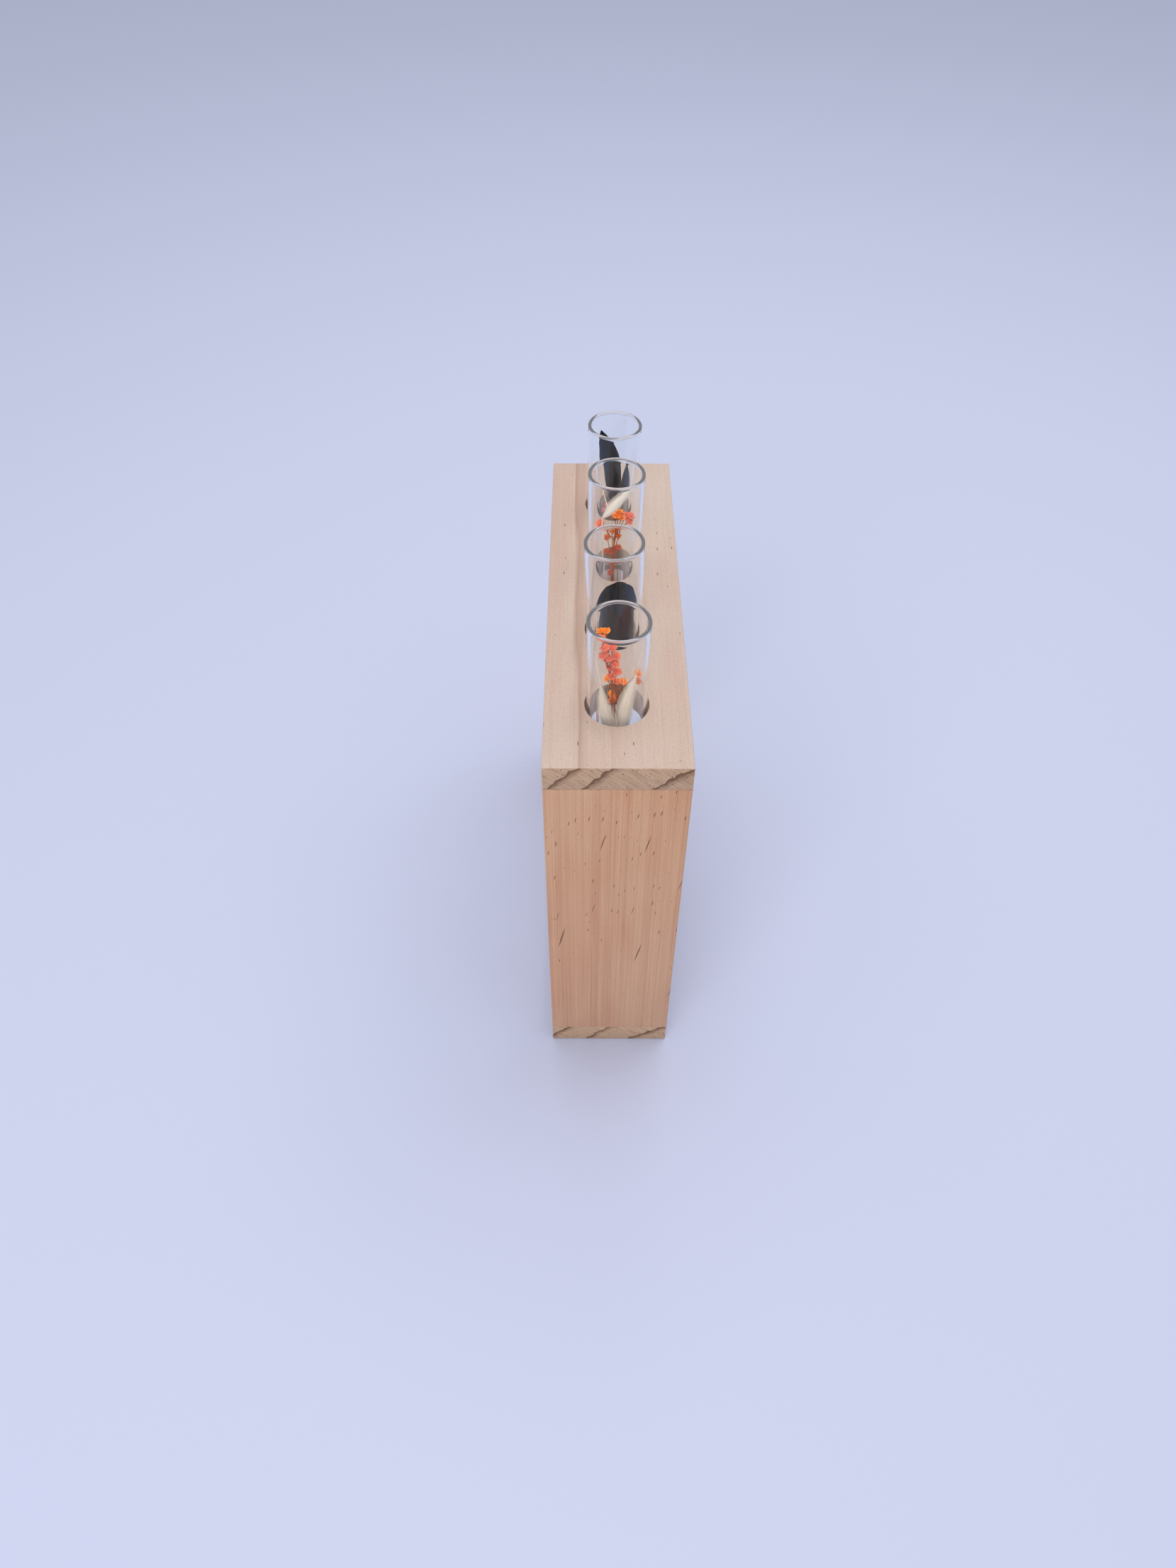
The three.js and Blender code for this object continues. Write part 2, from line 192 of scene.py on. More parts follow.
# pine, with one set of growth rings running right through each board
flatPine = {  # the top and base boards
    "along": "Y",
    "pale": paint(204, 184, 172),
    "warm": paint(197, 171, 157),
    "late": paint(166, 132, 116),
    "light": paint(216, 200, 189),
    "lines": 0.15,  # how strongly the fine lines show
    "speckle": 0.4,
    "dashes": [{"across": 2.6, "along": 13.0, "size": 0.07, "slant": 0.0, "share": 0.3}],
}
uprightPine = {  # the end boards
    "along": "Z",
    "lateWood": [(80.0, 0.25), (92.0, 0.3), (101.0, 0.2), (109.0, 0.2), (118.0, 0.2)],
    "pale": paint(212, 169, 136),
    "warm": paint(203, 150, 117),
    "late": paint(178, 122, 92),
    "light": paint(226, 184, 150),
    "lines": 0.6,
    "speckle": 0.2,
}
pine = {
    "top_board": {
        **flatPine,
        "pith": (78.5, 64.0),  # mm, in the stand's frame
        # each late ring's mm from the pith, and how dark it is on a face
        "lateWood": [(95.0, 0.5), (106.0, 0.5), (120.4, 0.3), (128.0, 1.0), (138.5, 0.4)],
        "logPlace": 900.0,  # mm along the log that the board was cut
    },
    "base_board": {
        **flatPine,
        "pith": (76.0, -81.0),
        "lateWood": [(95.0, 0.5), (106.0, 0.5), (118.0, 0.6), (128.5, 0.8), (138.5, 0.4)],
        "logPlace": 3300.0,
    },
    "front_end_board": {
        **uprightPine,
        "pith": (-95.0, -60.0),
        "dashes": [  # more of them from the foot to the head of each rise, in mm
            {"across": 2.0, "along": 15.0, "size": 0.085, "slant": 0.18, "share": 0.6, "rise": (40, 105)},
            {"across": 3.6, "along": 80.0, "size": 0.075, "slant": 0.2, "share": 0.45, "rise": (5, 60)},
        ],
        "logPlace": 1500.0,
    },
    "rear_end_board": {
        **uprightPine,
        "pith": (-95.0, 80.0),
        "dashes": [
            {"across": 2.0, "along": 15.0, "size": 0.085, "slant": -0.1, "share": 0.4, "rise": (30, 80)},
            {"across": 3.6, "along": 80.0, "size": 0.075, "slant": -0.12, "share": 0.45, "rise": (5, 60)},
        ],
        "logPlace": 2400.0,
    },
    "endPale": paint(206, 172, 142),
    "endLate": paint(112, 80, 56),
    "dash": paint(94, 50, 32),
    "worn": paint(236, 212, 190),
    "boredAndShaded": paint(112, 74, 56),  # the walls of a drilled hole, browned by the drill and darkened with painted shade
    "boredReach": (12.0, 66.0),  # mm across and along the stand that holds every hole
    "wander": 1.5,  # mm that the rings stray
    "ringMargin": (12, 4),  # mm of wood within the first late ring and past the last
    "ringSteps": [  # mm before a ring ends, and how dark a face and a sawn end are there
        (2.6, 0.0, 0.05),
        (1.0, 0.4, 0.5),
        (0.3, 0.7, 1.0),
        (0.0, 1.0, 0.95),
        (-0.15, 0.0, 0.0),
    ],
    "dashDeep": 0.7,  # mm that a dash moves across for each mm into the board
    "dashLengths": (0.5, 1.2),  # shares of its size
    "dashCore": 0.4,  # the share of a dash that is fully dark
    "poreShare": 0.5,  # of the places for a pore, those with an open one
    "sawTurn": -49.0,  # degrees that the saw's marks lie over on the ends
    "grain": {  # pattern cells to the mm across, deep and along
        "slow": (0.06, 0.06, 0.014),
        "quick": (0.3, 0.3, 0.006),
        "fibre": (2.6, 2.6, 0.05),
        "lines": (1.9, 1.9, 0.005),
        "speckle": (4.2, 4.2, 2.4),
        "drift": (0.06, 0.06, 0.012),
        "pores": (0.8, 0.8, 0.02),
        "saw": (2.2, 0.1, 0),
    },
    "show": {  # how strongly each mark shows
        "rings": 0.85,
        "fibre": 0.16,
        "dashes": 0.85,
        "saw": 0.35,
        "endSpeckle": 0.4,
        "pores": 0.8,
        "boredAndShaded": 0.6,
        "worn": 0.5,
    },
    "roughness": (0.58, 0.74),
}


def ringRamp(tree, radius, lateWood):
    # each ring darkens to its late wood, then turns pale at once: red for faces, green for sawn ends
    within, past = pine["ringMargin"]
    low, high = lateWood[0][0] - within, lateWood[-1][0] + past
    share = addNode(tree, "MapRange", {"Value": radius, "From Min": low, "From Max": high}).outputs[0]
    ramp = addNode(tree, "ValToRGB", {"Fac": share})
    elements = ramp.color_ramp.elements
    for late, darkness in lateWood:
        for before, face, end in pine["ringSteps"]:
            element = elements.new((late - before - low) / (high - low))
            element.color = (face * darkness, end, 0, 1)
    elements.remove(elements[0])
    elements.remove(elements[-1])
    return addNode(tree, "SeparateColor", {0: ramp.outputs[0]}).outputs


def dashLayer(tree, across, deep, along, dash):
    # slim resin dashes along the grain
    turned = calc(tree, "MULTIPLY_ADD", deep, pine["dashDeep"], across)
    leaned = calc(tree, "MULTIPLY_ADD", along, -dash["slant"], turned)
    cells = addNode(tree, "CombineXYZ", {0: calc(tree, "DIVIDE", leaned, dash["across"]),
                                         1: calc(tree, "DIVIDE", along, dash["along"])}).outputs[0]
    drops = addNode(tree, "TexVoronoi", {"Vector": cells, "Scale": 1.0}, voronoi_dimensions="2D").outputs
    pick, length, _ = addNode(tree, "SeparateColor", {0: drops["Color"]}).outputs
    reach = remap(tree, length, 0.0, 1.0, *(dash["size"] * share for share in pine["dashLengths"]))
    drop = remap(tree, calc(tree, "DIVIDE", drops["Distance"], reach), pine["dashCore"], 1.0, 1.0, 0.0)
    share = dash["share"]
    if "rise" in dash:
        share = remap(tree, along, *dash["rise"], 0.0, dash["share"])
    return calc(tree, "MULTIPLY", drop, calc(tree, "LESS_THAN", pick, share))


def makePine(board):
    look, grain, show = pine[board], pine["grain"], pine["show"]
    material, tree, shader = newMaterial("pine " + board.replace("_", " "))
    coords = addNode(tree, "TexCoord")
    place = stretch(tree, coords.outputs["Object"], (1 / mm, 1 / mm, 1 / mm))
    x, y, z = addNode(tree, "SeparateXYZ", {0: place}).outputs
    normal = addNode(tree, "SeparateXYZ", {0: coords.outputs["Normal"]}).outputs
    facing = [calc(tree, "ABSOLUTE", part) for part in normal]  # how squarely the surface faces each axis
    across, deep, along, ahead = (x, z, y, facing[1]) if look["along"] == "Y" else (x, y, z, facing[2])
    wood = addNode(tree, "CombineXYZ", {0: across, 1: deep, 2: along}).outputs[0]
    wood = shift(tree, wood, (0, 0, look["logPlace"]))

    # growth rings
    slow = cloud(tree, wood, grain["slow"])
    quick = cloud(tree, wood, grain["quick"], detail=4.0)
    stray = pine["wander"] * 2
    wander = calc(tree, "MULTIPLY_ADD", calc(tree, "ADD", slow, quick), stray, -stray)
    pithAcross, pithDeep = look["pith"]
    fromPith = stretch(tree, shift(tree, wood, (-pithAcross, -pithDeep, 0)), (1, 1, 0))
    radius = addNode(tree, "VectorMath", {0: fromPith}, operation="LENGTH").outputs[1]
    faceRings, endRings, _ = ringRamp(tree, calc(tree, "ADD", radius, wander), look["lateWood"])

    # the broad drift of colour, fine lines, planed speckle and long fibres
    drift = cloud(tree, wood, grain["drift"])
    lines = cloud(tree, wood, grain["lines"], detail=5.0, roughness=0.75)
    speckle = cloud(tree, wood, grain["speckle"], roughness=0.6)
    fibre = cloud(tree, wood, grain["fibre"], detail=4.0, roughness=0.7)
    colour = tinted(tree, look["pale"], drift, 0.3, 0.7, 1.0, look["warm"])
    colour = tinted(tree, colour, lines, 0.5, 0.72, look["lines"], look["late"])
    colour = tinted(tree, colour, lines, 0.5, 0.3, look["lines"], look["light"])
    colour = tinted(tree, colour, speckle, 0.46, 0.3, look["speckle"], look["light"])
    colour = washed(tree, colour, faceRings, show["rings"], look["late"])
    colour = tinted(tree, colour, fibre, 0.4, 0.75, show["fibre"], look["late"])
    colour = tinted(tree, colour, speckle, 0.5, 0.7, look["speckle"], look["late"])

    # dark resin dashes
    layers = [dashLayer(tree, across, deep, along, dash) for dash in look["dashes"]]
    dashes = calc(tree, "MAXIMUM", layers[0], layers[-1])
    colour = washed(tree, colour, dashes, show["dashes"], pine["dash"])

    # sawn ends show the rings darkest, with open pores and the saw's slanting marks
    poreCells = stretch(tree, wood, grain["pores"])
    drops = addNode(tree, "TexVoronoi", {"Vector": poreCells, "Scale": 1.0}).outputs
    pick = addNode(tree, "SeparateColor", {0: drops["Color"]}).outputs[0]
    pores = remap(tree, drops["Distance"], 0.1, 0.24, 1.0, 0.0)
    pores = calc(tree, "MULTIPLY", pores, calc(tree, "LESS_THAN", pick, pine["poreShare"]))
    turned = addNode(tree, "VectorRotate", {"Vector": wood, "Angle": math.radians(pine["sawTurn"])},
                     rotation_type="Z_AXIS").outputs[0]
    saw = cloud(tree, turned, grain["saw"], detail=3.0)
    ends = tinted(tree, pine["endPale"], saw, 0.4, 0.7, show["saw"], pine["endLate"])
    ends = tinted(tree, ends, speckle, 0.5, 0.7, show["endSpeckle"], pine["endLate"])
    ends = mixColour(tree, endRings, ends, pine["endLate"])
    ends = washed(tree, ends, pores, show["pores"], pine["dash"])
    colour = mixColour(tree, remap(tree, ahead, 0.6, 0.8), colour, ends)

    # holes browned by the drill, with painted shade on their walls
    insides = [calc(tree, "LESS_THAN", calc(tree, "ABSOLUTE", part), reach)
               for part, reach in zip((x, y), pine["boredReach"])]
    upright = remap(tree, facing[2], 0.3, 0.6, show["boredAndShaded"], 0.0)
    colour = washed(tree, colour, calc(tree, "MULTIPLY", *insides), upright, pine["boredAndShaded"])

    # arrises rubbed pale
    squarest = calc(tree, "MAXIMUM", calc(tree, "MAXIMUM", facing[0], facing[1]), facing[2])
    colour = tinted(tree, colour, squarest, 0.97, 0.8, show["worn"], pine["worn"])
    surfaced(tree, shader, colour, fibre, pine["roughness"])
    relief = calc(tree, "MULTIPLY_ADD", speckle, 0.6, fibre)
    relief = calc(tree, "MULTIPLY_ADD", dashes, -1.2, relief)
    bumped(tree, shader, relief, 0.35, 0.08)
    shader.inputs["Specular IOR Level"].default_value = 0.3
    return material


boards = {
    "easing": 0.28,  # mm, the soft arris of a hand-sanded board
    "arrisAngle": 50,  # degrees past which an edge is an arris
    "uneven": 0.05,  # mm that an arris strays inwards
    "unevenStep": 3.5,  # mm from one stray to the next
    "edgeStep": 6.0,  # mm between points along an edge
    "holeSides": 72,
    "holeClearance": 0.5,
    "seatGap": 0.3,
}
vialNumbers = range(1, 5)
vialBoxes = [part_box(f"vial_{number}") for number in vialNumbers]
vialRadius = (vialBoxes[0][1].y - vialBoxes[0][0].y) / 2
vialRows = [(low.y + high.y) / 2 for low, high in vialBoxes]
holeRadius = vialRadius + boards["holeClearance"] * mm
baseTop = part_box("base_board")[1].z
seatDepths = [baseTop - (low.z - boards["seatGap"] * mm) for low, _ in vialBoxes]


def boardSheet(bm, low, high, rows):
    # the top face, with its holes left open
    centre = (low + high) / 2
    size = high - low
    fit = Matrix.Translation((centre.x, centre.y, high.z)) @ Matrix.Diagonal((size.x, size.y, 1, 1))
    grid = bmesh.ops.create_grid(bm, x_segments=1, y_segments=1, size=0.5, matrix=fit)
    bmesh.ops.delete(bm, geom=facesOf(grid["verts"]), context="FACES_ONLY")
    for edge in bm.edges[:]:
        cuts = int(edge.calc_length() / (boards["edgeStep"] * mm))
        bmesh.ops.subdivide_edges(bm, edges=[edge], cuts=cuts)
    outline = bm.edges[:]
    holes = []
    for row in rows:
        spot = Matrix.Translation((0, row, high.z))
        ring = bmesh.ops.create_circle(bm, segments=boards["holeSides"], radius=holeRadius, matrix=spot)
        holes.append(ringEdges(ring["verts"]))
    bmesh.ops.triangle_fill(bm, edges=bm.edges[:], use_beauty=True)
    return outline, holes


def sink(bm, edges, depth):
    # walls down from a loop of edges, closed at the bottom
    walls = bmesh.ops.extrude_edge_only(bm, edges=edges)
    lower = newItems(walls, bmesh.types.BMVert)
    bmesh.ops.translate(bm, verts=lower, vec=(0, 0, -depth))
    rim = [edge for edge in newItems(walls, bmesh.types.BMEdge) if set(edge.verts) <= set(lower)]
    bmesh.ops.contextual_create(bm, geom=rim)


def makeBoard(node, rows=(), seats=None):
    # seats are the depths of blind holes; without them the holes go right through
    low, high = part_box(node)
    bm = bmesh.new()
    outline, holes = boardSheet(bm, low, high, rows)
    if seats is None:
        slab = bmesh.ops.extrude_face_region(bm, geom=bm.faces[:])
        bmesh.ops.translate(bm, verts=newItems(slab, bmesh.types.BMVert), vec=(0, 0, low.z - high.z))
    else:
        sink(bm, outline, high.z - low.z)
        for hole, depth in zip(holes, seats):
            sink(bm, hole, depth)
    bmesh.ops.recalc_face_normals(bm, faces=bm.faces[:])
    arrises = [edge for edge in bm.edges if edge.calc_face_angle(0) > math.radians(boards["arrisAngle"])]
    bmesh.ops.bevel(bm, geom=arrises, offset=boards["easing"] * mm, offset_type="OFFSET", segments=2,
                    profile=0.5, affect="EDGES", clamp_overlap=True, material=-1)
    for vert in bm.verts:
        stray = noise.noise(vert.co / (boards["unevenStep"] * mm)) * boards["uneven"] * mm
        vert.co -= vert.normal * max(0, stray)
    finishPiece(node + "_pine", bm, [makePine(node)], "stand", node)


makeBoard("top_board", vialRows)
makeBoard("base_board", vialRows, seatDepths)
makeBoard("front_end_board")
makeBoard("rear_end_board")
print("boards made")


# dowels keep their shape, and get a turned beech finish
dowel = {
    "pale": paint(222, 190, 146),
    "fleck": paint(164, 118, 76),
    "fibre": (1800, 1800, 90),  # pattern cells to the metre
    "flecks": (2600, 2600, 500),
}


def makeBeech():
    material, tree, shader = newMaterial("beech dowel")
    place = addNode(tree, "TexCoord").outputs["Object"]
    fibre = cloud(tree, place, dowel["fibre"], detail=3.0)
    flecks = cloud(tree, place, dowel["flecks"])
    colour = tinted(tree, dowel["pale"], fibre, 0.3, 0.75, 0.5, dowel["fleck"])
    colour = tinted(tree, colour, flecks, 0.62, 0.7, 0.7, dowel["fleck"])
    surfaced(tree, shader, colour, fibre, (0.5, 0.68))
    bumped(tree, shader, fibre, 0.3, 0.05)
    return material


beech = makeBeech()
for name, node in frame["nodes"].items():
    if name.startswith("dowel"):
        node.data.materials.clear()
        node.data.materials.append(beech)
print("dowels finished")


# glass vials
vial = {
    "length": 180.0,
    "wall": 1.0,
    "bead": 0.05,  # mm that the melted rim stands proud of the wall
    "beadSweep": (-35, 215),  # degrees that its round goes through
    "beadSteps": 16,
    "domeSteps": 14,
    "hold": 0.8,  # mm between the loops that keep the wall straight up to its ends
    "sides": 96,
    "tint": (0.97, 0.982, 0.98, 1),
    # the rim's grey is painted: it stands for the reflections and the light carried down the glass wall
    # that grey a real rim; rimClear is the share of it left as clear glass
    "rimPaintedGrey": (0.79, 0.79, 0.81, 1),
    "rimClear": 0.8,
    "rimRoughness": 0.08,
    "bending": 1.47,  # index of refraction
    "gleam": (0.5, 0.53, 0.6, 1),  # how much of a clean glass face's reflection is left
    "shade": (0.95, 0.965, 0.96, 1),  # what each wall leaves of the light that falls through it
    "drawnLines": (420, 420, 9),  # pattern cells to the metre, faint lines from drawing the tube
}


def makeGlass(name, tint, roughness, clearness):
    material, tree, shader = newMaterial(name)
    shader.inputs["Base Color"].default_value = tint
    shader.inputs["Roughness"].default_value = roughness
    shader.inputs["IOR"].default_value = vial["bending"]
    shader.inputs["Transmission Weight"].default_value = clearness
    shader.inputs["Specular Tint"].default_value = vial["gleam"]
    place = addNode(tree, "TexCoord").outputs["Object"]
    bumped(tree, shader, cloud(tree, place, vial["drawnLines"], detail=1.0), 0.06, 0.12)
    shadow = addNode(tree, "LightPath").outputs["Is Shadow Ray"]
    letThrough(tree, shader, shadow, vial["shade"])
    return material


def vialPlace(number):
    # from a vial's own frame in mm, standing on its lowest point, to the stand's in metres
    name = f"vial_{number}_lift"
    axis = Vector(next(joint["axis"] for joint in frame["joints"] if joint["name"] == name)).normalized()
    topLow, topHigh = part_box("top_board")
    hole = Vector((0, vialRows[number - 1], (topLow.z + topHigh.z) / 2))
    lowest = vialBoxes[number - 1][0].z
    foot = hole - axis * ((hole.z - lowest - vialRadius) / axis.z + vialRadius)
    turn = Matrix(((axis.z, 0, axis.x), (0, 1, 0), (-axis.x, 0, axis.z))).to_4x4()
    return Matrix.Translation(foot) @ turn @ Matrix.Scale(mm, 4)


def arc(across, up, radius, start, end, steps):
    angles = [math.radians(start + (end - start) * step / steps) for step in range(steps + 1)]
    return [(across + radius * math.cos(angle), up + radius * math.sin(angle)) for angle in angles]


def makeVial(number, glasses):
    outer = vialRadius / mm
    inner = outer - vial["wall"]
    bead = vial["wall"] / 2 + vial["bead"]
    rim = vial["length"] - bead
    hold = vial["hold"]
    profile = arc(0, outer, outer, -90, 0, vial["domeSteps"])
    profile += [(outer, height) for height in (outer + hold, rim - 2 * hold, rim - hold)]
    profile += arc((outer + inner) / 2, rim, bead, *vial["beadSweep"], vial["beadSteps"])
    profile += [(inner, height) for height in (rim - hold, rim - 2 * hold, outer + hold)]
    profile += arc(0, outer, inner, 0, -90, vial["domeSteps"])
    bm = bmesh.new()
    line = [bm.verts.new((across, 0, up)) for across, up in profile]
    edges = [bm.edges.new(pair) for pair in zip(line, line[1:])]
    bmesh.ops.spin(bm, geom=line + edges, cent=(0, 0, 0), axis=(0, 0, 1), angle=math.tau,
                   steps=vial["sides"], use_merge=True)
    bmesh.ops.remove_doubles(bm, verts=bm.verts[:], dist=0.001)
    bmesh.ops.recalc_face_normals(bm, faces=bm.faces[:])
    for face in bm.faces:
        # the rim's faces take the second glass, with its painted grey
        face.material_index = int(face.calc_center_median().z > rim - bead / 2)
    bmesh.ops.transform(bm, matrix=vialPlace(number), verts=bm.verts[:])
    finishPiece(f"vial_{number}_glass", bm, glasses, f"vial_{number}", f"vial_{number}", 80)


# clear glass for the walls, and glass with a painted grey for the rim
glasses = [makeGlass("vial glass", vial["tint"], 0.0, 1.0),
           makeGlass("glass rim painted grey", vial["rimPaintedGrey"], vial["rimRoughness"], vial["rimClear"])]
for number in vialNumbers:
    makeVial(number, glasses)
print("vials made")


# dried flowers: finishes. Patterns are in cells to the metre, or to a whole husk or leaf.
petalFinish = {
    "streaks": (2600, 2600, 1400),
    "drift": (320, 320, 320),
    "roughness": (0.6, 0.85),
    "sheen": 0.25,
}
stalkFinish = {"fibre": (3500, 3500, 160), "drift": (200, 200, 60), "roughness": (0.5, 0.75)}
huskFinish = {
    "body": paint(255, 240, 222),
    "other": paint(250, 228, 204),
    "vein": paint(222, 194, 164),
    "base": paint(224, 200, 166),
    "tip": paint(240, 226, 214),
    "veinTurns": 62.0,  # radians of vein across a husk
    "streaks": (26.0, 1.2, 0),
    "roughness": (0.38, 0.55),
    "glow": 0.35,
    "glowTint": (1.0, 0.8, 0.55),
    "glowDepth": 0.6,  # mm
    "clearest": 0.85,  # at its edges
}
leafFinish = {
    "body": paint(10, 15, 21),
    "other": paint(21, 31, 44),
    "vein": paint(42, 50, 57),
    "rib": paint(44, 38, 36),
    "grey": paint(52, 56, 62),
    "dust": paint(150, 156, 166),
    "veinTurns": 64.0,  # radians of side veins along a leaf
    "veinSlant": -46.0,  # radians of lag to each whole width out from the midrib
    "drift": (170, 170, 90),
    "grain": (2400, 2400, 2400),
    "specks": (1500, 1500, 1500),
    "roughness": (0.42, 0.62),
    "sheen": 0.04,
    "sheenTint": (0.6, 0.75, 1.0, 1),
}
petalLooks = {  # open is in degrees over flat
    "coral": {"body": paint(240, 122, 72), "other": paint(230, 101, 54), "heart": paint(190, 63, 30),
              "edge": paint(248, 154, 108), "open": 28, "curl": 0.5},
    "orange": {"body": paint(250, 146, 20), "other": paint(242, 118, 10), "heart": paint(184, 56, 8),
               "edge": paint(255, 176, 48), "open": 26, "curl": 0.6},
    "pink": {"body": paint(222, 120, 128), "other": paint(206, 98, 110), "heart": paint(150, 56, 66),
             "edge": paint(240, 170, 168), "open": 36, "curl": 0.6},
}


def makePetal(name, look):
    material, tree, shader = newMaterial(name)
    place = addNode(tree, "TexCoord").outputs["Object"]
    share = addNode(tree, "Attribute", attribute_name="petalShareAndShade").outputs["Fac"]
    streak = cloud(tree, place, petalFinish["streaks"], detail=3.0)
    drift = cloud(tree, place, petalFinish["drift"])
    colour = tinted(tree, look["body"], drift, 0.35, 0.65, 1.0, look["other"])
    # the share darkens each petal towards its heart at the base, and, lowered on the lower florets, also
    # lays painted shade on them
    colour = tinted(tree, colour, share, 0.55, 0.05, 1.0, look["heart"])
    colour = tinted(tree, colour, share, 0.75, 1.0, 0.5, look["edge"])
    colour = tinted(tree, colour, streak, 0.5, 0.75, 0.35, look["heart"])
    surfaced(tree, shader, colour, streak, petalFinish["roughness"])
    bumped(tree, shader, streak, 0.5, 0.06)
    shader.inputs["Sheen Weight"].default_value = petalFinish["sheen"]
    return material


def makeStalk(name, pale, dark):
    material, tree, shader = newMaterial(name)
    place = addNode(tree, "TexCoord").outputs["Object"]
    fibre = cloud(tree, place, stalkFinish["fibre"], detail=3.0)
    drift = cloud(tree, place, stalkFinish["drift"])
    colour = tinted(tree, dark, calc(tree, "ADD", fibre, drift), 0.7, 1.3, 1.0, pale)
    surfaced(tree, shader, colour, fibre, stalkFinish["roughness"])
    bumped(tree, shader, fibre, 0.4, 0.05)
    return material


def sheetPlace(tree):
    # a blade's own map, its share along the blade, and its distance from the middle
    sheet = addNode(tree, "UVMap").outputs[0]
    u, v, _ = addNode(tree, "SeparateXYZ", {0: sheet}).outputs
    return sheet, u, v, calc(tree, "ABSOLUTE", calc(tree, "SUBTRACT", u, 0.5))


def makeHusk(look):
    # papery glumes with fine veins from end to end, thin and half clear towards their edges
    material, tree, shader = newMaterial("oat husk")
    sheet, u, v, side = sheetPlace(tree)
    vein = calc(tree, "SINE", calc(tree, "MULTIPLY", u, look["veinTurns"]))
    streak = cloud(tree, sheet, look["streaks"], detail=3.0)
    colour = tinted(tree, look["body"], streak, 0.3, 0.7, 1.0, look["other"])
    colour = tinted(tree, colour, vein, 0.55, 1.0, 0.3, look["vein"])
    colour = tinted(tree, colour, v, 0.3, 0.0, 0.4, look["base"])
    colour = tinted(tree, colour, v, 0.75, 1.0, 0.5, look["tip"])
    surfaced(tree, shader, colour, streak, look["roughness"])
    bumped(tree, shader, calc(tree, "ADD", vein, streak), 0.3, 0.04)
    shader.inputs["Subsurface Weight"].default_value = look["glow"]
    shader.inputs["Subsurface Radius"].default_value = look["glowTint"]
    shader.inputs["Subsurface Scale"].default_value = look["glowDepth"] * mm
    thinness = calc(tree, "MULTIPLY_ADD", streak, 0.8, calc(tree, "MULTIPLY", side, 2.0))
    letThrough(tree, shader, remap(tree, thinness, 0.6, 1.3, 0.0, look["clearest"]))
    return material


def makeLeaf(look):
    # preserved leaf, near black, with a blue sheen, a midrib and side veins
    material, tree, shader = newMaterial("dark leaf")
    _, _, v, side = sheetPlace(tree)
    place = addNode(tree, "TexCoord").outputs["Object"]
    lag = calc(tree, "MULTIPLY", side, look["veinSlant"])
    sideVein = calc(tree, "SINE", calc(tree, "MULTIPLY_ADD", v, look["veinTurns"], lag))
    sideVein = remap(tree, sideVein, 0.86, 1.0)
    midrib = remap(tree, side, 0.012, 0.04, 1.0, 0.0)
    drift = cloud(tree, place, look["drift"], detail=3.0)
    grain = cloud(tree, place, look["grain"])
    specks = cloud(tree, place, look["specks"], detail=1.0)
    colour = tinted(tree, look["body"], drift, 0.32, 0.68, 1.0, look["other"])
    colour = washed(tree, colour, sideVein, 0.3, look["vein"])
    colour = washed(tree, colour, midrib, 0.5, look["rib"])
    colour = tinted(tree, colour, grain, 0.55, 0.75, 0.3, look["grey"])
    colour = tinted(tree, colour, specks, 0.73, 0.78, 0.6, look["dust"])
    surfaced(tree, shader, colour, grain, look["roughness"])
    veins = calc(tree, "MULTIPLY_ADD", sideVein, 0.6, midrib)
    bumped(tree, shader, calc(tree, "ADD", veins, grain), 0.4, 0.1)
    shader.inputs["Specular IOR Level"].default_value = 0.3
    shader.inputs["Sheen Weight"].default_value = look["sheen"]
    shader.inputs["Sheen Tint"].default_value = look["sheenTint"]
    return material


stalks = {
    "rust": makeStalk("rust stalk", paint(198, 102, 60), paint(154, 64, 36)),
    "straw": makeStalk("straw stalk", paint(250, 236, 214), paint(222, 198, 162)),
    "dark": makeStalk("dark stalk", paint(74, 60, 52), paint(38, 30, 28)),
}
looks = {  # walls are in mm
    "oat": {"stalk": stalks["straw"], "face": makeHusk(huskFinish), "slot": "oat_husk", "wall": 0.16},
    "leaf": {"stalk": stalks["dark"], "face": makeLeaf(leafFinish), "slot": "dark_leaf", "wall": 0.3},
}
for name, look in petalLooks.items():
    petal = makePetal(name + " petal", look)
    looks[name] = {**look, "stalk": stalks["rust"], "face": petal, "slot": name + "_florets"}
print("flower finishes made")


# dried flowers: shapes, in mm in a vial's own frame. A place is (x, y, drop below the rim).
tubes = {  # taper is the share of the width that is left at the end
    "stem": {"width": 0.62, "taper": 0.7, "sides": 8},
    "pedicel": {"width": 0.32, "taper": 0.8, "sides": 6},
    "awn": {"width": 0.36, "taper": 0.45, "sides": 6},
    "bristle": {"width": 0.13, "taper": 0.4, "sides": 5},
}
flower = {
    "footGap": 0.3,
    "pedicelRise": 8.0,
    "pedicelSag": 0.6,
    "awnBehind": 0.6,  # mm behind its husk that an awn or bristle starts
    "bristleArch": 0.8,
    "deepestShade": 0.75,  # how far painted shade darkens the lowest florets towards rust
    "width": 3.0,
    "widthSpread": (0.9, 1.1),
    "petals": 7,
    "innerPetals": 5,
    "innerSize": 0.62,  # against the outer ring's size, as is its rise
    "innerRise": 0.12,
    "innerOpen": 22,  # degrees steeper than the outer ring
    "heart": {"rise": 0.14, "radius": 0.3, "share": 0.12},
    "cup": {"rise": -0.2, "radius": 0.34, "share": 0.0},
}
